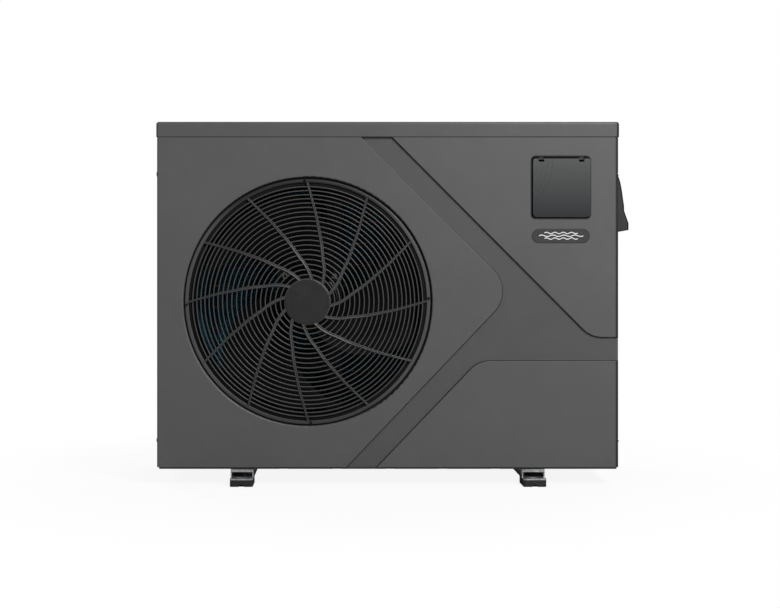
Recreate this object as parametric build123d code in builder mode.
from build123d import *
import math
import os

# Free-standing air-source pool heat pump, as an assembly of separate pieces.
# Units are millimetres. +X is to the right seen from the front, +Y to the back
# (the fan blows out of the front, towards -Y), +Z up. The origin is on the floor,
# at the centre of the four anchor slots in the feet.

os.makedirs("parts", exist_ok=True)

# ----------------------------------------------------------- casing dimensions
SHEET = 1.2             # casing sheet thickness
GAP = 0.1               # assembly gap between neighbouring pieces
PANEL_X = 415.4         # outer face of the side panels
Y_FRONT = -150.0        # outer face of the front panel
Y_REAR = 152.0          # outer face of the rear panels
Z_TOP = 654.0           # top of the lid
LID_SKIRT = 27.0        # height of the lid's skirt
LID_OVERHANG = 1.6      # lid's outer face beyond the panels
LID_X = PANEL_X + LID_OVERHANG
LID_Y0, LID_Y1 = Y_FRONT - LID_OVERHANG, Y_REAR + LID_OVERHANG
Z_PANEL, PANEL_TOP = 32.0, 648.0    # lower and upper edges of the casing panels
PANEL_MID_Z = (Z_PANEL + PANEL_TOP) / 2
PANEL_CORNER_R = 3.0    # front panel's upright corners
SIDE_Y0 = -131.4        # front edge of the side panels
TAB_Y0, TAB_Y1 = -146.0, -126.0     # tabs behind the front panel's side returns
FOLD_Z0, FOLD_Z1 = 62.0, 646.0      # height range of the inner folds and tabs

Z_PAN = 28.0            # underside of the base pan
PAN_FLOOR = Z_PAN + SHEET
ON_PAN = PAN_FLOOR + GAP
RIDGE_H = 2.0           # stiffening ridges on the pan's floor
ON_RIDGE = PAN_FLOOR + RIDGE_H + GAP

# --------------------------------------------------------------- shared places
FAN_X, FAN_Z = -144.0, 330.0        # fan axis, parallel to Y
COMP_X, COMP_Y = 335.0, -72.0       # compressor's upright axis
ACC_X, ACC_Y = 215.0, -90.0         # accumulator's upright axis
DRAIN_X, DRAIN_Y = -100.0, 60.0
PORT_X = 225.0                      # both water ports
INLET_Z, OUTLET_Z = 120.0, 430.0
PIPE_R, PIPE_BORE_R = 25.0, 20.0    # 50 mm water pipe
PART_X = 142.0                      # left face of the partition
VALVE_X, VALVE_Y, VALVE_Z = 215.0, -60.0, 420.0     # centre of the four-way valve
VALVE_PITCH = 20.0                  # between its lower ports
EVAP_GAS_Z = 379.0                  # gas pipe through the partition
DRIER_X, DRIER_Y = 170.0, -30.0     # filter drier, with the expansion valve above
EXPANSION_Z = 209.4                 # expansion valve's outlet
GLAND_X, GLAND_Z = 340.0, 545.0
WINDOW = (-62.0, 22.0, 498.0, 562.0)    # heat sink window: Y0, Y1, Z0, Z1


# --------------------------------------------------------------------- helpers
def polar(x, y, radius, angle):
    """Point at a radius and an angle in degrees about (x, y)."""
    turn = math.radians(angle)
    return x + radius * math.cos(turn), y + radius * math.sin(turn)


def spoke(x, y, radius, angle):
    """Sketch location at a polar point, with its local x pointing outwards."""
    return Location((*polar(x, y, radius, angle), 0), (0, 0, angle))


def at_y(y):
    """Sketch plane facing the front, at depth y: local x is X, local y is Z."""
    return Plane.XZ.offset(-y)


def radial(x, z):
    """Sketch plane through an axis parallel to Y: local x is radius, local y is Y."""
    return Plane(origin=(x, 0, z))


def block(x0, x1, y0, y1, z0, z1, mode=Mode.ADD):
    with Locations(((x0 + x1) / 2, (y0 + y1) / 2, (z0 + z1) / 2)):
        Box(x1 - x0, y1 - y0, z1 - z0, mode=mode)


def rod_x(x0, x1, y, z, radius, mode=Mode.ADD):
    with Locations(((x0 + x1) / 2, y, z)):
        Cylinder(radius, x1 - x0, rotation=(0, 90, 0), mode=mode)


def rod_y(x, y0, y1, z, radius, mode=Mode.ADD):
    with Locations((x, (y0 + y1) / 2, z)):
        Cylinder(radius, y1 - y0, rotation=(90, 0, 0), mode=mode)


def rod_z(x, y, z0, z1, radius, mode=Mode.ADD):
    with Locations((x, y, (z0 + z1) / 2)):
        Cylinder(radius, z1 - z0, mode=mode)


def turned(plane, direction, points, mode):
    """Revolve a closed outline about the axis through the plane's origin."""
    with BuildSketch(plane) as profile:
        with BuildLine():
            Polyline(*points, close=True)
        make_face()
    revolve(profile.sketch, axis=Axis(plane.origin, direction), mode=mode)


def turned_y(x, z, points, mode=Mode.ADD):
    """Revolve (radius, y) points about the axis through (x, z) parallel to Y."""
    turned(radial(x, z), (0, 1, 0), points, mode)


def turned_z(x, y, points, mode=Mode.ADD):
    """Revolve (radius, z) points about the vertical axis through (x, y)."""
    plane = Plane(origin=(x, y, 0), x_dir=(1, 0, 0), z_dir=(0, -1, 0))
    turned(plane, (0, 0, 1), points, mode)


def tube_run(points, outer, inner, bend):
    """Add a bent tube with radii outer and inner (0 for solid) along rounded corners."""
    with BuildLine() as run:
        FilletPolyline(*points, radius=bend)
    path = run.wires()[0]
    with BuildSketch(Plane(origin=path @ 0, z_dir=path % 0)) as section:
        Circle(outer)
        if inner:
            Circle(inner, mode=Mode.SUBTRACT)
    sweep(section.sketch, path=path)


def save(piece, name):
    piece.part.label = name
    export_step(piece.part, "parts/" + name + ".step")


# -------------------------------------------------------------- cabinet screws
SCREW_R = 1.95
HOLE_R = 2.1
# head seats: (x, y, z, side), with side -1 or 1 for a head facing that way in X
# and 0 for one facing the back
SCREWS = (
    [(x, LID_Y1, 640.0, 0) for x in (-330.0, 0.0, 330.0)]
    + [(side * PANEL_X, -141.0, z, side) for side in (-1, 1) for z in (80.0, 560.0)]
    + [(side * PANEL_X, y, 44.0, side) for side in (-1, 1) for y in (-80.0, 100.0)]
    + [(x, Y_REAR, z, 0) for x in (150.0, 385.0, -385.0, 96.0) for z in (44.0, 610.0)]
)


def screw_rod(screw, inward, outward, radius, mode=Mode.ADD):
    """Cylinder on a screw's axis, reaching inward and outward of the head's seat."""
    x, y, z, side = screw
    if side:
        rod_x(*sorted((x - side * inward, x + side * outward)), y, z, radius, mode=mode)
    else:
        rod_y(x, y - inward, y + outward, z, radius, mode=mode)


def screw_holes():
    """Clearance holes for every cabinet screw, cut from the open part."""
    for screw in SCREWS:
        screw_rod(screw, 12.0, 0.01, HOLE_R, mode=Mode.SUBTRACT)


SLOT_Z0, SLOT_Z1 = 0.9, 1.7         # cross slot's depth range, outward of the seat

with BuildPart() as cabinet_screws:
    for screw in SCREWS:
        x, y, z, side = screw
        screw_rod(screw, 0.0, 1.6, 3.8)
        screw_rod(screw, 6.3, 0.0, SCREW_R)
        # cross slot: half sizes across and up
        for across, up in ((0.5, 2.4), (2.4, 0.5)):
            if side:
                block(*sorted((x + side * SLOT_Z0, x + side * SLOT_Z1)),
                      y - across, y + across, z - up, z + up, mode=Mode.SUBTRACT)
            else:
                block(x - across, x + across, y + SLOT_Z0, y + SLOT_Z1,
                      z - up, z + up, mode=Mode.SUBTRACT)
save(cabinet_screws, "cabinet_screws")

# -------------------------------------------------------------------- base pan
PAN_MID = (0.5, 3.0)
PAN_L, PAN_W, PAN_CORNER_R = 826.6, 292.8, 3.0
PAN_H = 30.0
STUD_R = 3.0            # compressor and motor studs
STUD_HOLE_R = 3.02      # nuts on those studs
COMP_STUDS = [polar(COMP_X, COMP_Y, 62.0, angle) for angle in (90, 210, 330)]

with BuildPart() as base_pan:
    with BuildSketch(Plane.XY.offset(Z_PAN)):
        with Locations(PAN_MID):
            RectangleRounded(PAN_L, PAN_W, PAN_CORNER_R)
    extrude(amount=PAN_H)
    with BuildSketch(Plane.XY.offset(PAN_FLOOR)):
        with Locations(PAN_MID):
            RectangleRounded(PAN_L - 2 * SHEET, PAN_W - 2 * SHEET, PAN_CORNER_R - SHEET)
    extrude(amount=PAN_H, mode=Mode.SUBTRACT)
    # notches along the bottom of the front skirt
    for x in (-187.0, -91.0, 4.0, 99.0, 194.0):
        block(x - 8, x + 8, -144.0, -141.6, Z_PAN - 0.1, Z_PAN + 2.0, mode=Mode.SUBTRACT)
    # stiffening ridges pressed up from the floor under the fan
    for y in (-95.0, -20.0, 110.0):
        block(-230.0, 60.0, y - 5, y + 5, PAN_FLOOR, PAN_FLOOR + RIDGE_H)
    # drain hole and compressor studs
    rod_z(DRAIN_X, DRAIN_Y, Z_PAN - 1, Z_PAN + 3, 9.1, mode=Mode.SUBTRACT)
    for x, y in COMP_STUDS:
        rod_z(x, y, Z_PAN + 0.6, 78.0, STUD_R)
    screw_holes()
save(base_pan, "base_pan")

SPOUT_BORE_R, SPOUT_R, SPOUT_FLANGE_R = 6.5, 9.0, 14.0
with BuildPart() as drain_spout:
    turned_z(DRAIN_X, DRAIN_Y, [
        (SPOUT_BORE_R, 8.0), (SPOUT_R, 8.0), (SPOUT_R, 27.8), (8.8, 27.8), (8.8, ON_PAN),
        (SPOUT_FLANGE_R, ON_PAN), (SPOUT_FLANGE_R, PAN_FLOOR + 2.0),
        (SPOUT_BORE_R, PAN_FLOOR + 2.0)])
save(drain_spout, "drain_spout")

# ------------------------------------------------------------ foot rails, pads
FOOT_X = 262.0          # foot rail centre lines, left and right
FOOT_W = 41.0
FOOT_HALF_L = 174.5     # half length of the tread
FOOT_CORNER_R = 5.0
BOX_HALF_L = 152.0      # half length of the box section
SLOT_Y = 161.5          # anchor slot centres
SLOT_LEN, SLOT_R = 20.0, 5.5
PAD_H, PAD_L = 12.0, 62.0
RAIL_T = 2.0

for side, name in ((-1, "foot_rail_left"), (1, "foot_rail_right")):
    rail_x = side * FOOT_X
    rail_x0, rail_x1 = rail_x - FOOT_W / 2, rail_x + FOOT_W / 2
    with BuildPart() as rail:
        # box-section rail under the pan, open at both ends
        block(rail_x0, rail_x1, -BOX_HALF_L, BOX_HALF_L, PAD_H, Z_PAN)
        block(rail_x0 + RAIL_T, rail_x1 - RAIL_T, -BOX_HALF_L - 1, BOX_HALF_L + 1,
              PAD_H + RAIL_T, Z_PAN - RAIL_T, mode=Mode.SUBTRACT)
        # tread that carries on past the box at both ends
        with BuildSketch(Plane.XY.offset(PAD_H)):
            with Locations((rail_x, 0)):
                RectangleRounded(FOOT_W, 2 * FOOT_HALF_L, FOOT_CORNER_R)
        extrude(amount=RAIL_T)
        # lip under the top flange, at each end of the box
        for end in (-1, 1):
            block(rail_x0, rail_x1, *sorted((end * (BOX_HALF_L - RAIL_T), end * BOX_HALF_L)),
                  Z_PAN - 4.6, Z_PAN)
        with BuildSketch(Plane.XY.offset(PAD_H - 1)):
            with Locations((rail_x, -SLOT_Y), (rail_x, SLOT_Y)):
                SlotOverall(SLOT_LEN, 2 * SLOT_R)
        extrude(amount=RAIL_T + 2, mode=Mode.SUBTRACT)
    save(rail, name)

with BuildPart() as rubber_pads:
    for pad_x in (-FOOT_X, FOOT_X):
        for end in (-1, 1):
            with BuildSketch(Plane.XY):
                with Locations((pad_x, end * (FOOT_HALF_L - PAD_L / 2))):
                    RectangleRounded(FOOT_W, PAD_L, FOOT_CORNER_R)
                with Locations((pad_x, end * SLOT_Y)):
                    SlotOverall(SLOT_LEN, 2 * SLOT_R, mode=Mode.SUBTRACT)
            extrude(amount=PAD_H)
            # drainage arch at the outer end
            arch_y0, arch_y1 = sorted((end * (FOOT_HALF_L - 4.0), end * (FOOT_HALF_L + 1.0)))
            rod_y(pad_x, arch_y0, arch_y1, -1.0, 5.0, mode=Mode.SUBTRACT)
save(rubber_pads, "rubber_pads")

# ----------------------------------------------------- controller housing size
HOUSE_X0, HOUSE_X1 = 257.8, 366.0
HOUSE_Z0, HOUSE_Z1 = 478.8, 592.7
HOUSE_MID = ((HOUSE_X0 + HOUSE_X1) / 2, (HOUSE_Z0 + HOUSE_Z1) / 2)
HOUSE_W, HOUSE_H = HOUSE_X1 - HOUSE_X0, HOUSE_Z1 - HOUSE_Z0
HOUSE_CORNER_R = 8.5
HOUSE_FIT = 0.2         # clearance all round in the front panel

# ----------------------------------------------------------------- front panel
OPENING_R = 224.0       # fan opening
EDGE_ROLL = 3.0         # outer bend radius of the opening's rolled edge
EDGE_DEPTH = 5.4

# Recessed band, (x, z): a diagonal arm and a horizontal arm meeting in a point.
BAND = [(-81.6, 660.0), (228.4, 349.9), (-85.8, 20.0), (-30.6, 20.0), (164.0, 223.2),
        (425.0, 223.2), (425.0, 266.0), (366.3, 266.0), (-25.6, 660.0)]
BAND_FILLETS = ((1, 55.0), (4, 50.0), (7, 50.0))    # index in BAND, radius
# side wall of the band: depth, distance inside its outline
BAND_WALL = [(0.0, -0.8), (0.3, -0.3), (0.9, 0.0), (3.4, 1.0), (3.8, 1.3), (4.0, 1.9)]


def band_sketch(y, inset):
    with BuildSketch(at_y(y)) as outline:
        with BuildLine():
            Polyline(*BAND, close=True)
        make_face()
        for index, radius in BAND_FILLETS:
            fillet(outline.vertices().sort_by_distance((*BAND[index], 0))[0], radius)
        if inset:
            offset(amount=-inset, kind=Kind.INTERSECTION)
    return outline.sketch


# the band's front surface, and its back surface one sheet further in
with BuildPart() as band_tool:
    loft([band_sketch(Y_FRONT + depth, inset) for depth, inset in BAND_WALL], ruled=True)

with BuildPart() as band_back:
    loft([band_sketch(Y_FRONT + SHEET + depth, inset - SHEET) for depth, inset in BAND_WALL],
         ruled=True)

with BuildPart() as panel_core:
    block(-PANEL_X + SHEET, PANEL_X - SHEET, Y_FRONT + SHEET, -120.0, Z_PANEL - 5, 655.0)
    fillet(panel_core.edges().filter_by(Axis.Z).group_by(Axis.Y)[0], PANEL_CORNER_R - SHEET)
    add(band_back.part, mode=Mode.SUBTRACT)

FAN_AXIS = Axis((FAN_X, 0, FAN_Z), (0, 1, 0))

with BuildPart() as front_panel:
    block(-PANEL_X, PANEL_X, Y_FRONT, -131.8, Z_PANEL, PANEL_TOP)
    fillet(front_panel.edges().filter_by(Axis.Z).group_by(Axis.Y)[0], PANEL_CORNER_R)
    add(band_tool.part, mode=Mode.SUBTRACT)
    add(panel_core.part, mode=Mode.SUBTRACT)
    # fan opening with a rolled edge
    rod_y(FAN_X, Y_FRONT - 2, Y_FRONT + 8, FAN_Z, OPENING_R + 3.6, mode=Mode.SUBTRACT)
    with BuildSketch(radial(FAN_X, FAN_Z)):
        with BuildLine():
            inner, roll_start = OPENING_R, OPENING_R + EDGE_ROLL
            outer, roll_end = OPENING_R + 5, Y_FRONT + EDGE_ROLL
            back, edge_end = Y_FRONT + SHEET, Y_FRONT + EDGE_DEPTH
            Line((outer, Y_FRONT), (roll_start, Y_FRONT))
            RadiusArc((roll_start, Y_FRONT), (inner, roll_end), EDGE_ROLL)
            Line((inner, roll_end), (inner, edge_end))
            Line((inner, edge_end), (inner + SHEET, edge_end))
            Line((inner + SHEET, edge_end), (inner + SHEET, roll_end))
            RadiusArc((inner + SHEET, roll_end), (roll_start, back), SHEET - EDGE_ROLL)
            Line((roll_start, back), (outer, back))
            Line((outer, back), (outer, Y_FRONT))
        make_face()
    revolve(axis=FAN_AXIS)
    # opening for the controller
    with BuildSketch(at_y(Y_FRONT - 1)):
        with Locations(HOUSE_MID):
            RectangleRounded(HOUSE_W + 2 * HOUSE_FIT, HOUSE_H + 2 * HOUSE_FIT,
                             HOUSE_CORNER_R + HOUSE_FIT)
    extrude(amount=-8, mode=Mode.SUBTRACT)
    screw_holes()
save(front_panel, "front_panel")

# ------------------------------------------------------------------- top cover
with BuildPart() as top_cover:
    block(-LID_X, LID_X, LID_Y0, LID_Y1, Z_TOP - LID_SKIRT, Z_TOP)
    fillet(top_cover.edges().filter_by(Axis.Z), 5.0)
    fillet(top_cover.faces().sort_by(Axis.Z)[-1].edges(), 4.5)
    # hollow, stepped in near the top to clear the rounded edges
    block(-LID_X + SHEET, LID_X - SHEET, LID_Y0 + SHEET, LID_Y1 - SHEET,
          Z_TOP - LID_SKIRT - 1, Z_TOP - SHEET - 3.0, mode=Mode.SUBTRACT)
    block(-LID_X + 6, LID_X - 6, LID_Y0 + 6, LID_Y1 - 6, Z_TOP - 5.0, Z_TOP - SHEET,
          mode=Mode.SUBTRACT)
    # shallow groove framing the middle field of the lid
    with BuildSketch(Plane.XY.offset(Z_TOP + 0.1)):
        with Locations((0, 1.0)):
            RectangleRounded(774.0, 245.0, 18.0)
            RectangleRounded(766.0, 237.0, 14.0, mode=Mode.SUBTRACT)
    extrude(amount=-0.6, mode=Mode.SUBTRACT)
    screw_holes()
save(top_cover, "top_cover")

# ----------------------------------------------------------------- right panel
with BuildPart() as right_panel:
    block(PANEL_X - SHEET, PANEL_X, SIDE_Y0, 150.6, Z_PANEL, PANEL_TOP)
    block(398.0, PANEL_X - 0.1, 149.4, 150.6, FOLD_Z0, PANEL_TOP)
    # joggled tab behind the front panel's side return
    block(412.8, 414.0, TAB_Y0, TAB_Y1, FOLD_Z0, FOLD_Z1)
    block(413.9, 414.3, SIDE_Y0, TAB_Y1, FOLD_Z0, FOLD_Z1)
    # the tab stands clear of the recessed band
    block(412.0, 414.6, -147.0, -144.2, 214.0, 275.0, mode=Mode.SUBTRACT)
    # opening behind the hand grip
    block(400.0, 420.0, -38.0, 58.0, 478.0, 548.0, mode=Mode.SUBTRACT)
    screw_holes()
save(right_panel, "right_panel")

# ------------------------------------------------------------------ rear panel
LOUVRE_X0, LOUVRE_L = 300.0, 80.0
LOUVRE_PITCH, LOUVRE_H = 20.0, 7.0

with BuildPart() as rear_panel:
    block(119.0, PANEL_X, Y_REAR - SHEET, Y_REAR, Z_PANEL, PANEL_TOP)
    # holes for the water ports and the cable gland
    for x, z, radius in ((PORT_X, INLET_Z, 38.0), (PORT_X, OUTLET_Z, 38.0),
                         (GLAND_X, GLAND_Z, 10.2)):
        rod_y(x, Y_REAR - 5, Y_REAR + 1, z, radius, mode=Mode.SUBTRACT)
    # pressed louvres of the machine compartment
    for i in range(5):
        z = 230.0 + i * LOUVRE_PITCH
        block(LOUVRE_X0, LOUVRE_X0 + LOUVRE_L, Y_REAR - 5, Y_REAR + 1, z, z + LOUVRE_H,
              mode=Mode.SUBTRACT)
        with BuildSketch(Plane(origin=(LOUVRE_X0, 0, 0), x_dir=(0, 1, 0), z_dir=(1, 0, 0))):
            with BuildLine():
                Polyline((Y_REAR - 0.4, z + LOUVRE_H), (Y_REAR, z + 8.6),
                         (Y_REAR + 5.0, z + 1.0), (Y_REAR + 4.0, z + 0.4), close=True)
            make_face()
        extrude(amount=LOUVRE_L)
    screw_holes()
save(rear_panel, "rear_panel")

# ----------------------------------------------------------------- coil guards
GUARD_T = 2.5
GUARD_H = PANEL_TOP - Z_PANEL
REAR_GUARD_X0, REAR_GUARD_X1 = -412.6, 118.6
MESH_PITCH = (12.0, 78.0)           # across, up
MESH_HOLE = (9.4, 74.4)
MESH_ROWS = 7

with BuildPart() as rear_coil_guard:
    with BuildSketch(at_y(Y_REAR)):
        with Locations(((REAR_GUARD_X0 + REAR_GUARD_X1) / 2, PANEL_MID_Z)):
            Rectangle(REAR_GUARD_X1 - REAR_GUARD_X0, GUARD_H)
        # open grid, with a broad plain strip at the corner of the cabinet
        with Locations((-135.0, PANEL_MID_Z)):
            with GridLocations(*MESH_PITCH, 38, MESH_ROWS):
                Rectangle(*MESH_HOLE, mode=Mode.SUBTRACT)
    extrude(amount=GUARD_T)
    screw_holes()
save(rear_coil_guard, "rear_coil_guard")

with BuildPart() as left_coil_guard:
    with BuildSketch(Plane.YZ.offset(-PANEL_X)):
        with Locations(((SIDE_Y0 + Y_REAR) / 2, PANEL_MID_Z)):
            Rectangle(Y_REAR - SIDE_Y0, GUARD_H)
        with Locations((-1.7, PANEL_MID_Z)):
            with GridLocations(*MESH_PITCH, 19, MESH_ROWS):
                Rectangle(*MESH_HOLE, mode=Mode.SUBTRACT)
    extrude(amount=GUARD_T)
    # tab behind the front panel's side return
    block(-414.0, -411.5, TAB_Y0, TAB_Y1, FOLD_Z0, FOLD_Z1)
    # corner return that the rear guard rests against
    block(-PANEL_X + 2.4, -403.0, 146.6, 149.2, FOLD_Z0, PANEL_TOP)
    block(-PANEL_X + 0.1, -PANEL_X + 2.5, 146.6, 149.2, FOLD_Z0, PANEL_TOP)
    screw_holes()
save(left_coil_guard, "left_coil_guard")

# ------------------------------------------------------------------- fan guard
RIM_R0, RIM_R1 = 214.7, 221.2       # flat rim
RIM_Y, RIM_T = -145.95, 2.9
RING_RADII = [48.6, 57.8, 66.9, 75.9, 84.5, 93.2, 101.8, 110.5, 119.1, 127.7,
              136.4, 145.0, 153.2, 161.4, 169.6, 177.4, 185.1, 192.4, 199.9, 207.1]
RING_W, RING_T = 2.6, 3.4
RIB_COUNT = 12
# centreline of one rib: radius, angle from its rim end in degrees
RIB_LINE = [(215.4, 0.2), (201.6, -0.83), (181.0, -2.75), (158.4, -5.4), (129.6, -8.9),
            (108.0, -13.2), (86.4, -18.2), (72.0, -24.0), (57.6, -31.0), (43.0, -38.5)]
DOME = 15.0             # how far the middle stands forward of the rim
# guard screws, (x, z): just beside four of the rib ends
GUARD_SCREWS = [polar(FAN_X, FAN_Z, 218.0, angle + 1.5) for angle in (0, 90, 180, 270)]


def dome_y(radius):
    """Depth of the guard's middle surface."""
    return -146.0 - DOME * (1.0 - (radius / 218.7) ** 2)


def rib_outline(turn):
    """Closed (x, z) outline of one rib, widening inwards from the rim."""
    line = [polar(FAN_X, FAN_Z, radius, turn + lag) for radius, lag in RIB_LINE]
    left, right = [], []
    for i, (x, z) in enumerate(line):
        next_x, next_z = line[min(i + 1, len(line) - 1)]
        last_x, last_z = line[max(i - 1, 0)]
        length = math.hypot(next_x - last_x, next_z - last_z)
        normal_x, normal_z = -(next_z - last_z) / length, (next_x - last_x) / length
        half_w = 2.3 + 1.0 * min(1.0, max(0.0, (200.0 - RIB_LINE[i][0]) / 90.0))
        left.append((x + normal_x * half_w, z + normal_z * half_w))
        right.append((x - normal_x * half_w, z - normal_z * half_w))
    return left + right[::-1]


with BuildPart() as fan_guard:
    # curved ribs, cut to the domed depth of the guard
    with BuildSketch(at_y(-170.0)):
        for k in range(RIB_COUNT):
            with BuildLine():
                Polyline(*rib_outline(k * 360.0 / RIB_COUNT), close=True)
            make_face()
    extrude(amount=-30.0)
    with BuildSketch(radial(FAN_X, FAN_Z)):
        stations = (0.0, 41.0, 90.0, 130.0, 170.0, 218.0)
        front = [(radius, dome_y(radius) - 2.6) for radius in stations]
        back = [(radius, dome_y(radius) + 1.4) for radius in reversed(stations)]
        with BuildLine():
            Polyline(*front, *back, close=True)
        make_face()
    revolve(axis=FAN_AXIS, mode=Mode.INTERSECT)
    # rings, rim and hub disc
    with BuildSketch(radial(FAN_X, FAN_Z)):
        for radius in RING_RADII:
            with Locations((radius, dome_y(radius) + 0.6)):
                Rectangle(RING_W, RING_T)
        with Locations(((RIM_R0 + RIM_R1) / 2, RIM_Y)):
            Rectangle(RIM_R1 - RIM_R0, RIM_T)
        with Locations((21.0, dome_y(0) + 0.7)):
            Rectangle(42.0, RING_T)
    revolve(axis=FAN_AXIS)
    for x, z in GUARD_SCREWS:
        rod_y(x, -150.0, -140.0, z, 1.7, mode=Mode.SUBTRACT)
save(fan_guard, "fan_guard")

HUB_PLATE_R = 40.0
HUB_PLATE_FRONT, HUB_PLATE_BACK = dome_y(0) - 3.0, dome_y(0) - 1.05
with BuildPart() as guard_hub_plate:
    turned_y(FAN_X, FAN_Z, [
        (0, HUB_PLATE_BACK), (HUB_PLATE_R, HUB_PLATE_BACK), (HUB_PLATE_R, dome_y(0) - 2.2),
        (HUB_PLATE_R - 1.2, HUB_PLATE_FRONT), (0, HUB_PLATE_FRONT)])
save(guard_hub_plate, "guard_hub_plate")

with BuildPart() as guard_screws:
    for x, z in GUARD_SCREWS:
        # head, shank and driver slot
        rod_y(x, -149.0, -147.4, z, 2.3)
        rod_y(x, -147.4, -138.0, z, 1.5)
        block(x - 1.7, x + 1.7, -149.1, -148.4, z - 0.3, z + 0.3, mode=Mode.SUBTRACT)
save(guard_screws, "guard_screws")

# ------------------------------------------------------------------ fan shroud
# wall section: radius, y
SHROUD = [(238.0, -148.6), (226.6, -148.6), (226.6, -144.3), (206.5, -144.3),
          (204.6, -143.0), (204.0, -140.5), (204.0, -112.0), (209.0, -100.0),
          (211.0, -100.6), (206.3, -112.6), (206.3, -141.4), (207.2, -142.0),
          (228.9, -142.0), (228.9, -146.3), (238.0, -146.3)]

with BuildPart() as fan_shroud:
    turned_y(FAN_X, FAN_Z, SHROUD)
    # bosses for the guard screws
    for x, z in GUARD_SCREWS:
        rod_y(x, -142.2, -134.0, z, 4.5)
        rod_y(x, -145.0, -135.5, z, 1.55, mode=Mode.SUBTRACT)
save(fan_shroud, "fan_shroud")

# --------------------------------------------------------------- fan and motor
FAN_R = 200.0
BLADE_COUNT, BLADE_T = 3, 2.4
BLADE_ROOT_R = 47.0
BLADE_SPAN = FAN_R - BLADE_ROOT_R
HUB_R, HUB_BORE_R, HUB_BOSS_R = 52.0, 48.0, 14.0
SHAFT_R, SHAFT_END_R = 6.0, 4.0     # shaft, and its front end under the nut
NUT_BORE_R = SHAFT_END_R + 0.02


def blade_face(k):
    """Swept, pitched middle surface of blade k, as a grid of points."""
    grid = []
    for i in range(8):
        radius = BLADE_ROOT_R + BLADE_SPAN * i / 7.0
        outward = radius - BLADE_ROOT_R
        sweep_back = 3.0 + (radius - 81.0) / 99.0 * 35.0
        gap = 7.0 + 4.0 * outward / BLADE_SPAN
        start, end = sweep_back + gap, sweep_back + 90.0 - gap
        depth = 56.0 - 14.0 * outward / BLADE_SPAN
        row = []
        for j in range(9):
            along = j / 8.0
            camber = 5.0 * math.sin(math.pi * along) * (radius / FAN_R)
            angle = 42.0 + k * 360.0 / BLADE_COUNT + start + (end - start) * along
            x, z = polar(FAN_X, FAN_Z, radius, angle)
            row.append((x, -106.0 + depth * (along - 0.5) + camber, z))
        grid.append(row)
    return Face.make_surface_from_array_of_points(grid)


with BuildPart() as fan_impeller:
    for k in range(BLADE_COUNT):
        thicken(blade_face(k), amount=BLADE_T)
    # hub: a cup open at the back, with a boss for the shaft
    turned_y(FAN_X, FAN_Z, [
        (0, -134.0), (44.0, -134.0), (50.0, -131.0), (HUB_R, -126.0), (HUB_R, -80.0),
        (HUB_BORE_R, -80.0), (HUB_BORE_R, -122.0), (HUB_BOSS_R, -122.0),
        (HUB_BOSS_R, -84.0), (0, -84.0)])
    # webs between the boss and the hub's wall
    for k in range(6):
        with BuildSketch(at_y(-123.0)):
            with Locations(spoke(FAN_X, FAN_Z, 31.0, 60.0 * k + 10.0)):
                Rectangle(36.0, 2.4)
        extrude(amount=-36.0)
    rod_y(FAN_X, -140.0, -80.0, FAN_Z, SHAFT_R + 0.02, mode=Mode.SUBTRACT)
save(fan_impeller, "fan_impeller")

with BuildPart() as fan_shaft:
    turned_y(FAN_X, FAN_Z, [
        (0, -143.5), (3.6, -143.5), (SHAFT_END_R, -143.0), (SHAFT_END_R, -134.0),
        (SHAFT_R, -134.0), (SHAFT_R, -20.0), (0, -20.0)])
save(fan_shaft, "fan_shaft")

with BuildPart() as fan_nut:
    with BuildSketch(at_y(-141.0)):
        with Locations((FAN_X, FAN_Z)):
            RegularPolygon(7.5, 6)
            Circle(NUT_BORE_R, mode=Mode.SUBTRACT)
    extrude(amount=-5.4)
    # washer flange behind the hexagon
    with BuildSketch(at_y(-135.6)):
        with Locations((FAN_X, FAN_Z)):
            Circle(10.0)
            Circle(NUT_BORE_R, mode=Mode.SUBTRACT)
    extrude(amount=-1.55)
save(fan_nut, "fan_nut")

MOTOR_R = 58.0
EAR_ANGLES = (45, 135, 225, 315)
MOTOR_BOLTS = [polar(FAN_X, FAN_Z, 66.0, angle) for angle in EAR_ANGLES]     # (x, z)

with BuildPart() as fan_motor:
    turned_y(FAN_X, FAN_Z, [
        (0, -74.0), (17.0, -74.0), (19.0, -72.0), (19.0, -66.0), (46.0, -64.0),
        (54.0, -60.0), (MOTOR_R, -54.0), (MOTOR_R, 4.0), (50.0, 12.0), (0, 12.0)])
    # cooling grooves round the body
    for y in (-44.0, -34.0, -24.0, -14.0):
        turned_y(FAN_X, FAN_Z, [(54.0, y), (60.0, y), (60.0, y + 5.0), (54.0, y + 5.0)],
                 mode=Mode.SUBTRACT)
    # mounting ears
    for angle, (x, z) in zip(EAR_ANGLES, MOTOR_BOLTS):
        with BuildSketch(at_y(6.0)):
            with Locations(spoke(FAN_X, FAN_Z, MOTOR_R, angle)):
                RectangleRounded(30.0, 18.0, 5.0)
        extrude(amount=-6.0)
        rod_y(x, 4.0, 14.0, z, 3.2, mode=Mode.SUBTRACT)
    rod_y(FAN_X, -76.0, -18.0, FAN_Z, SHAFT_R + 0.06, mode=Mode.SUBTRACT)
save(fan_motor, "fan_motor")

UPRIGHT_X = 46.7        # uprights' centres, either side of the fan axis
UPRIGHT_HALF_W = 15.0
BRACKET_T = 1.8
BRACKET_Y = 12.2        # front face of the uprights
BRACKET_BACK = BRACKET_Y + BRACKET_T
BRACKET_TOP = 640.0

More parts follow.
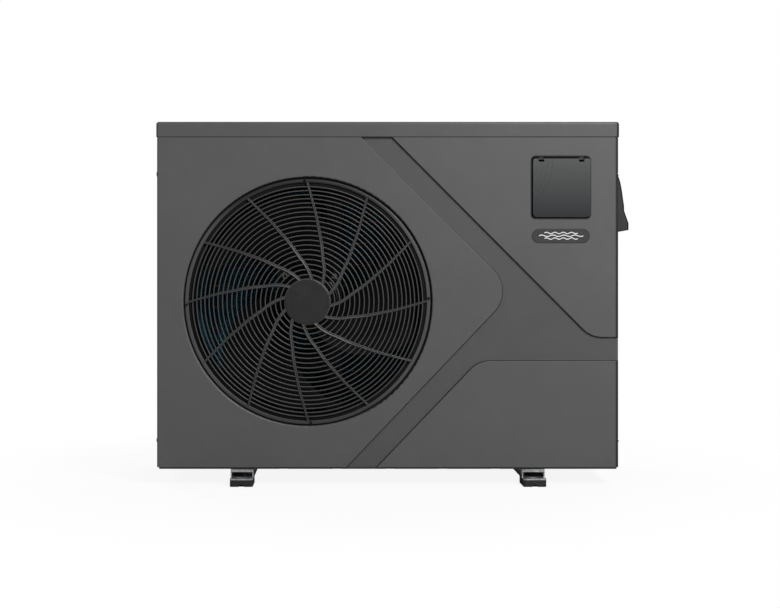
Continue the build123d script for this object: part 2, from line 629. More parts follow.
with BuildPart() as motor_bracket:
    # two channel uprights from the pan to the lid, each with a foot plate
    for x in (FAN_X - UPRIGHT_X, FAN_X + UPRIGHT_X):
        x0, x1 = x - UPRIGHT_HALF_W, x + UPRIGHT_HALF_W
        block(x0, x1, BRACKET_Y, 34.0, ON_RIDGE, BRACKET_TOP)
        block(x0 + BRACKET_T, x1 - BRACKET_T, BRACKET_BACK, 35.0, ON_RIDGE + BRACKET_T,
              BRACKET_TOP + 1, mode=Mode.SUBTRACT)
        block(x0, x1, BRACKET_Y, 44.0, ON_RIDGE, ON_RIDGE + 1.9)
    # cross ties
    for z in (FAN_Z - 120.0, FAN_Z + 120.0):
        block(FAN_X - UPRIGHT_X, FAN_X + UPRIGHT_X, BRACKET_Y, BRACKET_BACK, z - 14, z + 14)
    # hook over the top edge of the coil
    hook_half_w = UPRIGHT_X + UPRIGHT_HALF_W
    block(FAN_X - hook_half_w, FAN_X + hook_half_w, BRACKET_Y, 112.0,
          BRACKET_TOP - BRACKET_T, BRACKET_TOP)
    # weld studs for the motor
    for x, z in MOTOR_BOLTS:
        rod_y(x, 0.0, 13.0, z, STUD_R)
save(motor_bracket, "motor_bracket")

NUT_R, NUT_T = 5.6, 5.0
with BuildPart() as mounting_nuts:
    # nuts on the motor studs and on the compressor studs
    for x, z in MOTOR_BOLTS:
        with BuildSketch(at_y(0.9)):
            with Locations((x, z)):
                RegularPolygon(NUT_R, 6)
                Circle(STUD_HOLE_R, mode=Mode.SUBTRACT)
        extrude(amount=-NUT_T)
    for x, y in COMP_STUDS:
        with BuildSketch(Plane.XY.offset(70.2)):
            with Locations((x, y)):
                RegularPolygon(NUT_R, 6)
                Circle(STUD_HOLE_R, mode=Mode.SUBTRACT)
        extrude(amount=NUT_T)
save(mounting_nuts, "mounting_nuts")

# ------------------------------------------------------------------ evaporator
COIL_DEPTH = 38.0
COIL_Y0, COIL_Y1 = 106.0, 106.0 + COIL_DEPTH        # rear leg
COIL_X0, COIL_X1 = -408.0, -408.0 + COIL_DEPTH      # left leg
COIL_Z0, COIL_Z1 = 40.0, 634.0
FIN_T, FIN_PITCH = 0.5, 5.0
BEND = 40.0             # inside radius of the coil's corner
TUBE_R, TUBE_BORE_R = 4.76, 4.2
TUBE_ROWS, TUBE_PITCH = 14, 42.4
TUBE_Z = [COIL_Z0 + 21.0 + i * TUBE_PITCH for i in range(TUBE_ROWS)]
TUBE_INSET = 10.0       # tube rows inside the coil's faces
OUTER_X, INNER_X = COIL_X0 + TUBE_INSET, COIL_X1 - TUBE_INSET
OUTER_Y, INNER_Y = COIL_Y1 - TUBE_INSET, COIL_Y0 + TUBE_INSET
FRONT_END_Y, RIGHT_END_X = -122.0, 112.0            # ends of the straight tubes

with BuildPart() as evaporator_fins:
    with BuildSketch(Plane.XY.offset(COIL_Z0)):
        rear_xs = [-316.0 + FIN_PITCH * i for i in range(84)]
        with Locations(*[(x, (COIL_Y0 + COIL_Y1) / 2) for x in rear_xs]):
            Rectangle(FIN_T, COIL_DEPTH)
        left_ys = [-112.0 + FIN_PITCH * i for i in range(34)]
        with Locations(*[((COIL_X0 + COIL_X1) / 2, y) for y in left_ys]):
            Rectangle(COIL_DEPTH, FIN_T)
        # fanned fins round the corner
        for i in range(1, 15):
            with Locations(spoke(COIL_X1 + BEND, COIL_Y0 - BEND, BEND + COIL_DEPTH / 2,
                                 180.0 - i * 6.0)):
                Rectangle(COIL_DEPTH, FIN_T)
    extrude(amount=COIL_Z1 - COIL_Z0)
save(evaporator_fins, "evaporator_fins")

with BuildPart() as evaporator_tubes:
    for z in TUBE_Z:
        for row_x, row_y, bend in ((OUTER_X, OUTER_Y, BEND + COIL_DEPTH - TUBE_INSET),
                                   (INNER_X, INNER_Y, BEND + TUBE_INSET)):
            tube_run([(row_x, FRONT_END_Y, z), (row_x, row_y, z), (RIGHT_END_X, row_y, z)],
                     TUBE_R, TUBE_BORE_R, bend)
    # return bends: the two rows are joined at the front end, the inner row's levels in pairs
    # at the right end, which leaves the outer row's ends for the headers
    mid_x, half_x = (OUTER_X + INNER_X) / 2, (INNER_X - OUTER_X) / 2
    bends = [((OUTER_X, FRONT_END_Y, z), (mid_x, FRONT_END_Y - half_x, z),
              (INNER_X, FRONT_END_Y, z)) for z in TUBE_Z]
    for low, high in zip(TUBE_Z[0::2], TUBE_Z[1::2]):
        half_z = (high - low) / 2
        bends.append(((RIGHT_END_X, INNER_Y, low),
                      (RIGHT_END_X + half_z, INNER_Y, low + half_z),
                      (RIGHT_END_X, INNER_Y, high)))
    for start, middle, end in bends:
        with BuildLine() as turn:
            ThreePointArc(start, middle, end)
        path = turn.edges()[0]
        with BuildSketch(Plane(origin=path @ 0, z_dir=path % 0)):
            Circle(TUBE_R)
            Circle(TUBE_BORE_R, mode=Mode.SUBTRACT)
        sweep(path=path)
save(evaporator_tubes, "evaporator_tubes")

with BuildPart() as evaporator_end_plates:
    # drilled sheets at both ends of the coil carry the tubes
    plate_top = COIL_Z1 + 2
    block(104.5, 106.0, COIL_Y0 - 1, COIL_Y1 + 1, ON_PAN, plate_top)
    block(92.0, 106.0, COIL_Y0 - 1.3, COIL_Y0 - 0.1, ON_PAN, plate_top)
    block(COIL_X0 - 1, COIL_X1 + 1, -117.5, -116.0, ON_PAN, plate_top)
    for z in TUBE_Z:
        for y in (OUTER_Y, INNER_Y):
            rod_x(103.0, 107.0, y, z, TUBE_R + GAP, mode=Mode.SUBTRACT)
        for x in (OUTER_X, INNER_X):
            rod_y(x, -119.0, -115.0, z, TUBE_R + GAP, mode=Mode.SUBTRACT)
save(evaporator_end_plates, "evaporator_end_plates")

# -------------------------------------------------------------- partition wall
with BuildPart() as partition_panel:
    # wall with a flange at its front and back edges
    block(PART_X, PART_X + SHEET, -142.0, 148.0, ON_PAN, FOLD_Z1)
    block(PART_X, PART_X + 12.0, -142.0, -140.8, ON_PAN, FOLD_Z1)
    block(PART_X, PART_X + 12.0, 146.8, 148.0, FOLD_Z0, FOLD_Z1)
    # heat sink window and two pipe holes
    block(PART_X - 2, PART_X + 4, *WINDOW, mode=Mode.SUBTRACT)
    rod_x(PART_X - 2, PART_X + 4, VALVE_Y, EVAP_GAS_Z, 9.5, mode=Mode.SUBTRACT)
    rod_x(PART_X - 2, PART_X + 4, DRIER_Y, EXPANSION_Z, 5.5, mode=Mode.SUBTRACT)
    screw_holes()
save(partition_panel, "partition_panel")

# ------------------------------------------------------------------ compressor
MOUNT_Z0, MOUNT_Z1 = 56.0, 61.0     # compressor's mounting plate

with BuildPart() as compressor:
    turned_z(COMP_X, COMP_Y, [
        (0, 60), (50, 60), (57, 66), (59, 72), (59, 268), (56, 282), (42, 294), (14, 299),
        (14, 304), (0, 304)])
    # mounting plate with three lugs, drilled for the rubber mounts
    with BuildSketch(Plane.XY.offset(MOUNT_Z0)):
        with Locations((COMP_X, COMP_Y)):
            Circle(52.0)
        with Locations(*COMP_STUDS):
            Circle(15.0)
    extrude(amount=MOUNT_Z1 - MOUNT_Z0)
    with Locations(*[(x, y, (MOUNT_Z0 + MOUNT_Z1) / 2) for x, y in COMP_STUDS]):
        Cylinder(8.0, 8.0, mode=Mode.SUBTRACT)
    # room for the mounts and nuts above the lugs
    for x, y in COMP_STUDS:
        rod_z(x, y, MOUNT_Z1, 78.0, 14.0, mode=Mode.SUBTRACT)
    # terminal cap on the crown
    rod_z(COMP_X + 26.0, COMP_Y + 18.0, 285.0, 312.0, 15.0)
    # hollow housing, open at the discharge stub
    turned_z(COMP_X, COMP_Y, [(0, 92), (48, 92), (48, 258), (0, 258)], mode=Mode.SUBTRACT)
    rod_z(COMP_X, COMP_Y, 250.0, 305.0, 5.2, mode=Mode.SUBTRACT)
save(compressor, "compressor")

with BuildPart() as compressor_mounts:
    for x, y in COMP_STUDS:
        rod_z(x, y, ON_PAN, MOUNT_Z0 - GAP, 12.0)
        rod_z(x, y, MOUNT_Z0 - GAP, MOUNT_Z1 + GAP, 7.8)
        rod_z(x, y, MOUNT_Z1 + GAP, 70.1, 11.0)
        rod_z(x, y, 28.0, 71.0, 3.15, mode=Mode.SUBTRACT)
save(compressor_mounts, "compressor_mounts")

with BuildPart() as accumulator:
    turned_z(ACC_X, ACC_Y, [
        (0, 112), (20, 112), (28, 118), (30, 126), (30, 280), (28, 288), (20, 294), (8, 296),
        (0, 296)])
    tube_run([(ACC_X, ACC_Y, 113.0), (ACC_X, ACC_Y, 80.0), (275.0, -79.0, 80.0)],
             8.0, 6.6, 18.0)
    # strap to the compressor
    block(240.0, 276.0, -88.0, -84.0, 236.0, 250.0)
save(accumulator, "accumulator")

# -------------------------------------------------------------- heat exchanger
SHELL_X, SHELL_Y = PORT_X, 55.0     # upright axis
WINDING_R, WINDING_PITCH, WINDING_TURNS = 50.0, 19.0, 12
WINDING_Z0 = 92.0
WINDING_Z1 = WINDING_Z0 + WINDING_PITCH * WINDING_TURNS
COIL_TUBE_R, COIL_TUBE_T = 7.0, 1.0
END_L = 62.0                        # straight ends of the winding
SLOPE = math.atan2(WINDING_PITCH, 2 * math.pi * WINDING_R)
AIM = (0.0, math.cos(SLOPE), math.sin(SLOPE))       # direction of the straight ends


def coil_end(z, distance):
    """Point at a signed distance along AIM from the winding's end at height z."""
    return SHELL_X + WINDING_R, SHELL_Y + distance * AIM[1], z + distance * AIM[2]


LOW_END, HIGH_END = coil_end(WINDING_Z0, -END_L), coil_end(WINDING_Z1, END_L)
WINDING_ENDS = ((WINDING_Z0, -1.0), (WINDING_Z1, 1.0))      # height, outward sense of AIM

with BuildPart() as exchanger_shell:
    turned_z(SHELL_X, SHELL_Y, [
        (0, 48), (66, 48), (72, 54), (72, 372), (66, 382), (44, 388), (32, 390),
        (32, 395.5), (0, 395.5)])
    # ribs round the body
    for z in (75.0, 160.0, 245.0, 350.0):
        turned_z(SHELL_X, SHELL_Y, [(70, z), (74, z + 1), (74, z + 7), (70, z + 8)])
    # feet
    foot_z0, foot_z1 = PAN_FLOOR + 2.2, 52.0
    for angle in (45, 135, 225, 315):
        with Locations((*polar(SHELL_X, SHELL_Y, 52.0, angle), (foot_z0 + foot_z1) / 2)):
            Box(18.0, 18.0, foot_z1 - foot_z0)
    # rear boss for the inlet
    rod_y(SHELL_X, 100.0, 141.0, INLET_Z, 32.0)
    # bosses for the coil's ends
    for z, sense in WINDING_ENDS:
        with BuildSketch(Plane(origin=coil_end(z, sense * (END_L - 14.0)), z_dir=AIM)):
            Circle(12.0)
        extrude(amount=-sense * 22.0)
    # water space
    turned_z(SHELL_X, SHELL_Y, [
        (0, 53), (63, 53), (67, 57), (67, 368), (62, 377), (20, 383), (20, 390), (0, 390)],
        mode=Mode.SUBTRACT)
    # outlet and inlet: waterway, then pipe socket
    rod_z(SHELL_X, SHELL_Y, 386.0, 392.0, PIPE_BORE_R, mode=Mode.SUBTRACT)
    rod_z(SHELL_X, SHELL_Y, 388.0, 405.0, PIPE_R + GAP, mode=Mode.SUBTRACT)
    rod_y(SHELL_X, 100.0, 126.0, INLET_Z, PIPE_BORE_R, mode=Mode.SUBTRACT)
    rod_y(SHELL_X, 124.0, 142.0, INLET_Z, PIPE_R + GAP, mode=Mode.SUBTRACT)
    # bores for the coil's ends
    for z, sense in WINDING_ENDS:
        with BuildSketch(Plane(origin=coil_end(z, sense * (END_L + 4.0)), z_dir=AIM)):
            Circle(COIL_TUBE_R + GAP)
        extrude(amount=-sense * (END_L + 4.0), mode=Mode.SUBTRACT)
save(exchanger_shell, "exchanger_shell")

with BuildPart() as titanium_coil:
    with BuildLine() as coil_path:
        winding = Helix(WINDING_PITCH, WINDING_PITCH * WINDING_TURNS, WINDING_R,
                        center=(SHELL_X, SHELL_Y, WINDING_Z0))
        Line(LOW_END, winding @ 0)
        Line(winding @ 1, HIGH_END)
    path = coil_path.wires()[0]
    with BuildSketch(Plane(origin=LOW_END, z_dir=AIM)) as section:
        Circle(COIL_TUBE_R)
        Circle(COIL_TUBE_R - COIL_TUBE_T, mode=Mode.SUBTRACT)
    sweep(section.sketch, path=path, is_frenet=True)
save(titanium_coil, "titanium_coil")

# ---------------------------------------------------------- water connections
THREAD_R, THREAD_PITCH = 33.5, 3.4
HEAD_END_Y = 175.0                  # end face of the collars
SOCKET_R = 25.15                    # socket for 50 mm pipe
TAIL_FLANGE_R, TAIL_R = 33.0, 29.5
NUT_IN_R, NUT_OUT_R = 33.6, 41.0
SWITCH_Y = 112.0                    # flow switch's upright axis, over the outlet pipe


def union_head(z):
    """Collar with an outside thread form and an O-ring groove in its end face."""
    outline = [(PIPE_BORE_R, 151.0), (28.0, 151.0), (THREAD_R, 153.4)]
    for i in range(5):
        y = 156.0 + THREAD_PITCH * i
        outline += [(THREAD_R, y), (32.4, y + 0.7), (32.4, y + 1.1), (THREAD_R, y + 1.8)]
    outline += [(THREAD_R, 174.4), (32.9, HEAD_END_Y), (27.7, HEAD_END_Y), (27.7, 172.6),
                (24.3, 172.6), (24.3, HEAD_END_Y), (PIPE_BORE_R, HEAD_END_Y)]
    turned_y(PORT_X, z, outline)


with BuildPart() as water_inlet_pipe:
    turned_y(PORT_X, INLET_Z, [(PIPE_BORE_R, 124.6), (PIPE_R, 124.6), (PIPE_R, Y_REAR),
                               (PIPE_BORE_R, Y_REAR)])
    union_head(INLET_Z)
save(water_inlet_pipe, "water_inlet_pipe")

OUTLET_START, OUTLET_CORNER = (PORT_X, SHELL_Y, 391.0), (PORT_X, SHELL_Y, OUTLET_Z)
OUTLET_BEND = 34.0
with BuildPart() as water_outlet_pipe:
    # solid elbow and flow switch boss, then both bored out
    tube_run([OUTLET_START, OUTLET_CORNER, (PORT_X, Y_REAR, OUTLET_Z)],
             PIPE_R, 0, OUTLET_BEND)
    rod_z(PORT_X, SWITCH_Y, 440.0, 476.0, 14.0)
    with BuildLine() as run:
        FilletPolyline(OUTLET_START, OUTLET_CORNER, (PORT_X, Y_REAR + 0.5, OUTLET_Z),
                       radius=OUTLET_BEND)
    bore_path = run.wires()[0]
    with BuildSketch(Plane(origin=bore_path @ 0, z_dir=bore_path % 0)) as bore:
        Circle(PIPE_BORE_R)
    sweep(bore.sketch, path=bore_path, mode=Mode.SUBTRACT)
    rod_z(PORT_X, SWITCH_Y, OUTLET_Z, 477.0, 9.0, mode=Mode.SUBTRACT)
    union_head(OUTLET_Z)
save(water_outlet_pipe, "water_outlet_pipe")

with BuildPart() as union_tails:
    for z in (INLET_Z, OUTLET_Z):
        turned_y(PORT_X, z, [
            (PIPE_BORE_R, HEAD_END_Y + GAP), (TAIL_FLANGE_R, HEAD_END_Y + GAP),
            (TAIL_FLANGE_R, 181.0), (TAIL_R, 181.0), (TAIL_R, 212.0), (28.5, 213.0),
            (SOCKET_R, 213.0), (SOCKET_R, 182.0), (PIPE_BORE_R, 182.0)])
save(union_tails, "union_tails")

with BuildPart() as union_o_rings:
    for z in (INLET_Z, OUTLET_Z):
        with BuildSketch(radial(PORT_X, z)):
            with Locations((26.0, 173.82)):
                Circle(1.2)
        revolve(axis=Axis((PORT_X, 0, z), (0, 1, 0)))
save(union_o_rings, "union_o_rings")

for z, name in ((INLET_Z, "inlet_union_nut"), (OUTLET_Z, "outlet_union_nut")):
    with BuildPart() as nut:
        turned_y(PORT_X, z, [
            (NUT_IN_R, 155.0), (39.5, 155.0), (NUT_OUT_R, 157.0), (NUT_OUT_R, 181.0),
            (38.0, 186.0), (29.8, 186.0), (29.8, 181.2), (NUT_IN_R, 181.2)])
        # grip ribs
        for k in range(10):
            with BuildSketch(at_y(156.0)):
                with Locations(spoke(PORT_X, z, NUT_OUT_R, 36.0 * k)):
                    RectangleRounded(5.0, 8.0, 2.0)
            extrude(amount=-24.0)
    save(nut, name)

# ----------------------------------------------------------------- flow switch
PIVOT_Z = 458.0
with BuildPart() as flow_switch:
    # plug, hexagon and head
    rod_z(PORT_X, SWITCH_Y, 452.0, 480.0, 8.9)
    with BuildSketch(Plane.XY.offset(476.2)):
        with Locations((PORT_X, SWITCH_Y)):
            RegularPolygon(16.0, 6)
    extrude(amount=8.0)
    block(PORT_X - 22.0, PORT_X + 22.0, SWITCH_Y - 18.0, SWITCH_Y + 18.0, 484.0, 526.0)
    fillet(flow_switch.edges().filter_by(Axis.Z).group_by(SortBy.LENGTH)[-1], 5.0)
    # hollow plug with the paddle's pivot pin across it
    rod_z(PORT_X, SWITCH_Y, 450.0, 474.0, 6.5, mode=Mode.SUBTRACT)
    rod_x(PORT_X - 7.0, PORT_X + 7.0, SWITCH_Y, PIVOT_Z, 1.2)
save(flow_switch, "flow_switch")

PADDLE_HALF_T = 0.8
with BuildPart() as flow_paddle:
    paddle_y0, paddle_y1 = SWITCH_Y - PADDLE_HALF_T, SWITCH_Y + PADDLE_HALF_T
    rod_x(PORT_X - 2.0, PORT_X + 2.0, SWITCH_Y, PIVOT_Z, 3.0)
    block(PORT_X - 1.6, PORT_X + 1.6, paddle_y0, paddle_y1, 426.0, 457.0)
    rod_y(PORT_X, paddle_y0, paddle_y1, 427.0, 11.0)
    rod_x(PORT_X - 3.0, PORT_X + 3.0, SWITCH_Y, PIVOT_Z, 1.27, mode=Mode.SUBTRACT)
save(flow_paddle, "flow_paddle")

# --------------------------------------------------------- refrigerant circuit
VALVE_LEFT, VALVE_RIGHT = VALVE_X - VALVE_PITCH, VALVE_X + VALVE_PITCH      # outer ports
with BuildPart() as four_way_valve:
    rod_x(172.0, 258.0, VALVE_Y, VALVE_Z, 12.0)
    rod_x(168.0, 262.0, VALVE_Y, VALVE_Z, 9.0)
    rod_z(VALVE_X, VALVE_Y, 430.0, 444.5, 7.6)
    for x in (VALVE_LEFT, VALVE_X, VALVE_RIGHT):
        rod_z(x, VALVE_Y, 395.2, 411.0, 8.4)
save(four_way_valve, "four_way_valve")

with BuildPart() as valve_coil:
    block(VALVE_X - 19.0, VALVE_X + 19.0, -44.0, -22.0, 408.0, 436.0)
    rod_y(VALVE_X, -47.9, -20.0, 422.0, 6.0)
    chamfer(valve_coil.faces().sort_by(Axis.Z)[-1].edges().filter_by(Axis.Y), 2.0)
save(valve_coil, "valve_coil")

with BuildPart() as filter_drier:
    turned_z(DRIER_X, DRIER_Y, [(0, 102), (6.5, 102), (6.5, 108), (18, 116), (18, 156),
                                (6.5, 164), (6.5, 170), (0, 170)])
save(filter_drier, "filter_drier")

with BuildPart() as expansion_valve:
    rod_z(DRIER_X, DRIER_Y, 190.0, 222.0, 11.0)
    rod_x(158.0, DRIER_X, DRIER_Y, EXPANSION_Z, 7.0)
    rod_z(DRIER_X, DRIER_Y, 222.0, 254.0, 17.0)
    rod_z(DRIER_X, DRIER_Y, 254.0, 258.0, 12.0)
save(expansion_valve, "expansion_valve")

# outer and inner radii of the tubes
DISCHARGE_TUBE, GAS_TUBE, LIQUID_TUBE = (6.35, 5.4), (7.0, 6.0), (4.76, 4.0)
HEADER_X, GAS_HEADER_Y, LIQUID_HEADER_Y = 128.0, 128.0, 142.0
COIL_PIPE_X = LOW_END[0]            # pipes to both ends of the exchanger's coil
PORT_Z0, PORT_Z1 = 395.1, 444.6     # pipe ends at the four-way valve


def header_branches(levels, header_y, radius):
    """Solid branches from the outer row's ends to a header."""
    for z in levels:
        tube_run([(RIGHT_END_X + GAP, OUTER_Y, z), (118.0, OUTER_Y, z),
                  (HEADER_X, header_y, z)], radius, 0, 3.0)


with BuildPart() as gas_pipes:
    # discharge: compressor to valve
    tube_run([(COMP_X, COMP_Y, 304.1), (COMP_X, COMP_Y, 462.0), (VALVE_X, VALVE_Y, 462.0),
              (VALVE_X, VALVE_Y, PORT_Z1)], *DISCHARGE_TUBE, 16.0)
    # suction: valve to accumulator
    tube_run([(VALVE_X, VALVE_Y, PORT_Z0), (VALVE_X, VALVE_Y, 338.0), (ACC_X, ACC_Y, 338.0),
              (ACC_X, ACC_Y, 296.1)], *GAS_TUBE, 14.0)
    # valve to heat exchanger
    tube_run([(HIGH_END[0], HIGH_END[1] + GAP, HIGH_END[2]), (COIL_PIPE_X, 133.0, 324.5),
              (COIL_PIPE_X, 133.0, 446.0), (COIL_PIPE_X, -30.0, 446.0),
              (COIL_PIPE_X, -30.0, 350.0), (VALVE_RIGHT, -30.0, 350.0),
              (VALVE_RIGHT, VALVE_Y, 350.0), (VALVE_RIGHT, VALVE_Y, PORT_Z0)],
             *GAS_TUBE, 13.0)
    # valve to evaporator, with its header
    tube_run([(VALVE_LEFT, VALVE_Y, PORT_Z0), (VALVE_LEFT, VALVE_Y, EVAP_GAS_Z),
              (HEADER_X, VALVE_Y, EVAP_GAS_Z), (HEADER_X, GAS_HEADER_Y, EVAP_GAS_Z)],
             GAS_TUBE[0], 0, 14.0)
    rod_z(HEADER_X, GAS_HEADER_Y, TUBE_Z[1] - 8, TUBE_Z[13] + 8, 6.0)
    header_branches(TUBE_Z[1::2], GAS_HEADER_Y, 3.6)
save(gas_pipes, "gas_pipes")

with BuildPart() as liquid_pipes:
    # exchanger to drier
    tube_run([(LOW_END[0], LOW_END[1] - GAP, LOW_END[2]), (COIL_PIPE_X, DRIER_Y, 87.0),
              (DRIER_X, DRIER_Y, 87.0), (DRIER_X, DRIER_Y, 101.9)], *LIQUID_TUBE, 12.0)
    # drier to expansion valve
    rod_z(DRIER_X, DRIER_Y, 170.1, 189.9, LIQUID_TUBE[0])
    # expansion valve to evaporator, with its header
    tube_run([(157.9, DRIER_Y, EXPANSION_Z), (HEADER_X, DRIER_Y, EXPANSION_Z),
              (HEADER_X, DRIER_Y, 47.0), (HEADER_X, LIQUID_HEADER_Y, 47.0),
              (HEADER_X, LIQUID_HEADER_Y, TUBE_Z[12] + 8)], 4.0, 0, 12.0)
    header_branches(TUBE_Z[0::2], LIQUID_HEADER_Y, 2.6)
save(liquid_pipes, "liquid_pipes")

# -------------------------------------------------------------- electrical box
BOX_X0, BOX_X1 = 143.4, 408.0
BOX_Y0, BOX_Y1 = -105.0, 72.0
BOX_Z0, BOX_Z1 = 480.0, 628.0
BOARD_Z0, BOARD_T = 500.0, 1.6
BOARD_TOP = BOARD_Z0 + BOARD_T
PART_Z0 = 501.5         # board components start just inside the board

with BuildPart() as electrical_box:
    block(BOX_X0, BOX_X1, BOX_Y0, BOX_Y1, BOX_Z0, BOX_Z1)
    block(BOX_X0 + SHEET, BOX_X1 - SHEET, BOX_Y0 + SHEET, BOX_Y1 - SHEET, BOX_Z0 + SHEET,
          BOX_Z1 + 1, mode=Mode.SUBTRACT)
    block(BOX_X0 - 1, BOX_X0 + 3, *WINDOW, mode=Mode.SUBTRACT)
    # cable slot in the rear wall and board standoffs
    block(300.0, 360.0, BOX_Y1 - 3, BOX_Y1 + 1, 600.0, 630.0, mode=Mode.SUBTRACT)
    for x in (175.0, 385.0):
        for y in (-80.0, 45.0):
            rod_z(x, y, BOX_Z0 + 0.5, BOARD_Z0 - GAP, 4.0)
save(electrical_box, "electrical_box")

with BuildPart() as electrical_cover:
    # lid, front lip and two screw heads
    block(BOX_X0, BOX_X1, BOX_Y0 - 1.4, BOX_Y1, BOX_Z1 + GAP, BOX_Z1 + GAP + SHEET)
    block(BOX_X0, BOX_X1, BOX_Y0 - 1.4, BOX_Y0 - 0.2, BOX_Z1 - 14.0, BOX_Z1 + 1.0)
    for x in (200.0, 350.0):
        rod_y(x, BOX_Y0 - 2.4, BOX_Y0 - 0.2, BOX_Z1 - 7.0, 3.2)
save(electrical_cover, "electrical_cover")

# block-shaped components: centre x, centre y, size in x, size in y, height
COMPONENTS = (
    (215, -55, 46, 40, 34), (215, 20, 38, 38, 28), (270, 25, 22, 30, 20),
    (300, 25, 22, 30, 20), (330, 25, 22, 30, 20), (365, 25, 30, 44, 24),
    (270, -15, 34, 34, 4), (330, -15, 28, 14, 5), (185, -18, 12, 50, 12))

with BuildPart() as control_board:
    block(165.0, 395.0, -92.0, 57.0, BOARD_Z0, BOARD_TOP)
    # row of upright cylinders
    for x in (290.0, 318.0, 346.0, 374.0):
        rod_z(x, -60.0, PART_Z0, 545.0, 12.0)
    for x, y, size_x, size_y, height in COMPONENTS:
        block(x - size_x / 2, x + size_x / 2, y - size_y / 2, y + size_y / 2,
              PART_Z0, BOARD_TOP + height)
    # row of six small blocks
    for i in range(6):
        block(352.0 + i * 6.6, 357.6 + i * 6.6, -18.0, -4.0, PART_Z0, 515.0)
save(control_board, "control_board")

with BuildPart() as heat_sink:
    block(144.8, 150.0, WINDOW[0] - 4, WINDOW[1] + 4, WINDOW[2] - 4, WINDOW[3] + 4)
    for i in range(12):
        y = -59.0 + i * 7.2
        block(98.0, 145.5, y - 0.9, y + 0.9, 500.0, 560.0)
save(heat_sink, "heat_sink")

# ------------------------------------------------------------------ controller
WALL = 1.4
PLATE_Y = -134.0        # front of the face plate
DISPLAY_X0, DISPLAY_X1 = 275.2, 351.2
DISPLAY_Z0, DISPLAY_Z1 = 534.0, 568.0
BUTTON_Z = 508.0
BUTTONS = [(name, 277.1 + 24.0 * i) for i, name in enumerate(
    ("button_power", "button_mode", "button_down", "button_up"))]
LUGS = ((271.4, 281.5), (344.0, 353.5))     # slots in the door for the hinge lugs: x0, x1
HINGE_Y, HINGE_Z = -151.5, 586.2
HINGE_R, LUG_R, PIN_R = 1.9, 1.75, 0.9

with BuildPart() as controller_housing:
    # body, then the pockets before and behind the face plate: y, depth, inset, mode
    for y, depth, inset, mode in ((-150.9, 27.0, 0.0, Mode.ADD),
                                  (-151.0, 17.0, WALL, Mode.SUBTRACT),
                                  (PLATE_Y + 2.0, 10.0, WALL, Mode.SUBTRACT)):
        with BuildSketch(at_y(y)):
            with Locations(HOUSE_MID):
                RectangleRounded(HOUSE_W - 2 * inset, HOUSE_H - 2 * inset,
                                 HOUSE_CORNER_R - inset)
        extrude(amount=-depth, mode=mode)
    # flange behind the panel
    with BuildSketch(at_y(-148.5)):
        with Locations(HOUSE_MID):
            RectangleRounded(HOUSE_W + 14, HOUSE_H + 14, 14.0)
            RectangleRounded(HOUSE_W - 1, HOUSE_H - 1, 8.0, mode=Mode.SUBTRACT)
    extrude(amount=-2.0)
    # hinge lugs
    for x0, x1 in LUGS:
        lug_x0, lug_x1, lug_z0 = x0 + 0.6, x1 - 0.6, HINGE_Z - LUG_R
        rod_x(lug_x0, lug_x1, HINGE_Y, HINGE_Z, LUG_R)
        block(lug_x0, lug_x1, HINGE_Y, -139.0, lug_z0, HINGE_Z + LUG_R)
        block(lug_x0, lug_x1, -150.4, -139.0, lug_z0, HOUSE_Z1 - 0.5)
        rod_x(x0, x1, HINGE_Y, HINGE_Z, PIN_R, mode=Mode.SUBTRACT)
    # window recess and button holes in the face plate
    block(DISPLAY_X0 - 0.2, DISPLAY_X1 + 0.2, PLATE_Y - 0.1, PLATE_Y + 1.2,
          DISPLAY_Z0 - 0.2, DISPLAY_Z1 + 0.2, mode=Mode.SUBTRACT)
    for _, x in BUTTONS:
        rod_y(x, PLATE_Y - 1, PLATE_Y + 3, BUTTON_Z, 6.2, mode=Mode.SUBTRACT)
save(controller_housing, "controller_housing")

with BuildPart() as display_panel:
    block(DISPLAY_X0, DISPLAY_X1, PLATE_Y - 0.8, PLATE_Y + 1.15, DISPLAY_Z0, DISPLAY_Z1)
    fillet(display_panel.edges().filter_by(Axis.Y), 1.0)
save(display_panel, "display_panel")

for name, x in BUTTONS:
    with BuildPart() as button:
        turned_y(x, BUTTON_Z, [(0, -136.4), (3.0, -136.3), (5.2, -135.9), (6.0, -135.1),
                               (6.0, -131.8), (7.4, -131.8), (7.4, -130.8), (0, -130.8)])
    save(button, name)

DOOR_X0, DOOR_X1 = 261.2, 364.7
DOOR_Z0, DOOR_Z1 = 482.0, 591.1
DOOR_T = 2.3

with BuildPart() as control_door:
    # flat cover, rounder at its two upper corners
    with BuildSketch(at_y(HINGE_Y - HINGE_R)) as cover:
        with Locations(((DOOR_X0 + DOOR_X1) / 2, (DOOR_Z0 + DOOR_Z1) / 2)):
            Rectangle(DOOR_X1 - DOOR_X0, DOOR_Z1 - DOOR_Z0)
        fillet(cover.vertices().group_by(Axis.Y)[0], 7.0)
        fillet(cover.vertices().group_by(Axis.Y)[-1], 9.0)
    extrude(amount=-DOOR_T)
    fillet(control_door.faces().sort_by(Axis.Y)[0].edges(), 1.2)
    # hinge barrel, flush with the front face
    rod_x(264.0, 362.0, HINGE_Y, HINGE_Z, HINGE_R)
    # slots for the two hinge lugs
    for x0, x1 in LUGS:
        block(x0, x1, -160.0, -140.0, HINGE_Z - 4.6, 595.0, mode=Mode.SUBTRACT)
    # finger notch in the middle of the top edge
    rod_y(313.0, -156.0, -151.6, DOOR_Z1 + 1.0, 3.4, mode=Mode.SUBTRACT)
    rod_x(250.0, 375.0, HINGE_Y, HINGE_Z, PIN_R + 0.06, mode=Mode.SUBTRACT)
save(control_door, "control_door")

with BuildPart() as door_pin:
    rod_x(264.6, 361.4, HINGE_Y, HINGE_Z, PIN_R - 0.01)
save(door_pin, "door_pin")

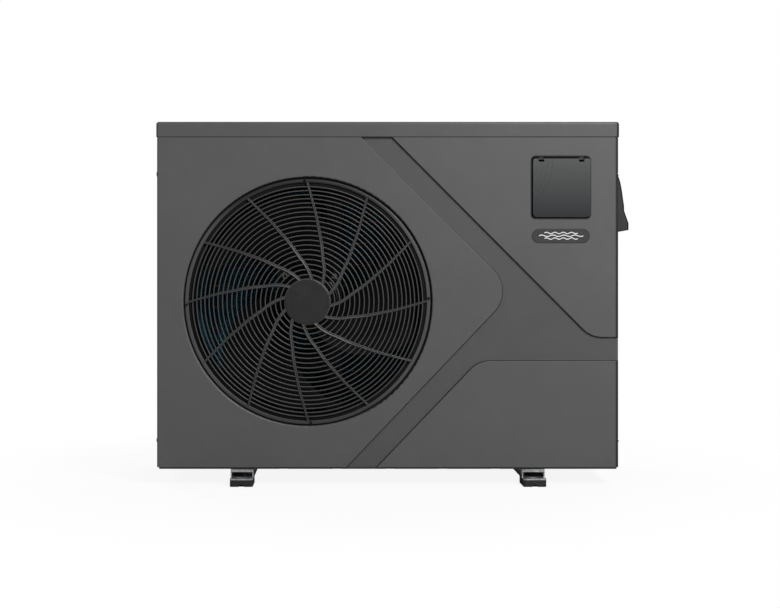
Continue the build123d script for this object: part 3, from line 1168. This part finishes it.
# ----------------------------------------------------------------------- badge
BADGE_X, BADGE_Z = 312.0, 448.5
WAVE_HALF_H = 0.9
with BuildPart() as badge:
    with BuildSketch(at_y(Y_FRONT - 0.05)):
        with Locations((BADGE_X, BADGE_Z)):
            SlotOverall(104.0, 25.0)
    extrude(amount=1.2)
    # three plain waves: height above the badge's centre, half length
    for rise, half_l in ((5.0, 30.0), (0.0, 40.0), (-5.0, 30.0)):
        wave = [(BADGE_X - half_l + i * 2 * half_l / 24.0,
                 BADGE_Z + rise + 1.3 * math.sin(math.pi * i / 3.0)) for i in range(25)]
        upper = [(x, z + WAVE_HALF_H) for x, z in wave]
        lower = [(x, z - WAVE_HALF_H) for x, z in wave]
        with BuildSketch(at_y(Y_FRONT - 1.2)):
            with BuildLine():
                Spline(*upper)
                Spline(*lower)
                Line(lower[0], upper[0])
                Line(lower[-1], upper[-1])
            make_face()
        extrude(amount=0.5)
save(badge, "badge")

# ----------------------------------------------------------------- side handle
HAND_Y0, HAND_Y1 = -50.0, 70.0
HAND_WALL = 3.0         # end walls
# (x, z) outlines: curved back of the grip, then the straight lines that close it
OUTER_CURVE = [(415.5, 592.0), (428.5, 577.5), (437.1, 560.2), (443.7, 528.3),
               (446.5, 509.6)]
OUTER_LINES = [(446.5, 509.6), (446.9, 498.4), (455.0, 475.5), (455.0, 462.5),
               (415.5, 459.5), (415.5, 592.0)]
INNER_CURVE = [(413.0, 590.0), (425.8, 575.9), (434.2, 559.2), (440.7, 527.9),
               (443.4, 509.6)]
INNER_LINES = [(443.4, 509.6), (443.9, 498.0), (452.0, 475.0), (452.0, 452.0),
               (413.0, 452.0), (413.0, 590.0)]

with BuildPart() as side_handle:
    with BuildSketch(at_y(HAND_Y0)):
        with BuildLine():
            Spline(*OUTER_CURVE)
            Polyline(*OUTER_LINES)
        make_face()
    extrude(amount=-(HAND_Y1 - HAND_Y0))
    # round the front and back ends, except along the panel and the lower edge
    for end in (0, -1):
        fillet(side_handle.faces().sort_by(Axis.Y)[end].edges().filter_by(
            lambda e: e.center().X > 416.0 and e.center().Z > 462.0), 4.0)
    # flange against the side panel
    block(415.5, 417.0, HAND_Y0 - 11.0, HAND_Y1 + 11.0, 456.0, 603.0)
    # hollow, open below and towards the panel
    with BuildSketch(at_y(HAND_Y0 + HAND_WALL)):
        with BuildLine():
            Spline(*INNER_CURVE)
            Polyline(*INNER_LINES)
        make_face()
    extrude(amount=-(HAND_Y1 - HAND_Y0 - 2 * HAND_WALL), mode=Mode.SUBTRACT)
save(side_handle, "side_handle")

# ----------------------------------------------------------------- cable gland
GLAND_HEX_R = 15.5
with BuildPart() as cable_gland:
    rod_y(GLAND_X, 140.0, 158.0, GLAND_Z, 10.0)
    # hexagon outside the rear panel, and the cap behind it
    with BuildSketch(at_y(Y_REAR + GAP)):
        with Locations((GLAND_X, GLAND_Z)):
            RegularPolygon(GLAND_HEX_R, 6)
    extrude(amount=-6.0)
    turned_y(GLAND_X, GLAND_Z, [(0, 158.0), (13.5, 158.0), (13.5, 166.0), (10.0, 172.0),
                                (0, 172.0)])
    # lock nut inside
    with BuildSketch(at_y(145.6)):
        with Locations((GLAND_X, GLAND_Z)):
            RegularPolygon(GLAND_HEX_R, 6)
    extrude(amount=-5.0)
    rod_y(GLAND_X, 139.0, 173.0, GLAND_Z, 6.5, mode=Mode.SUBTRACT)
save(cable_gland, "cable_gland")
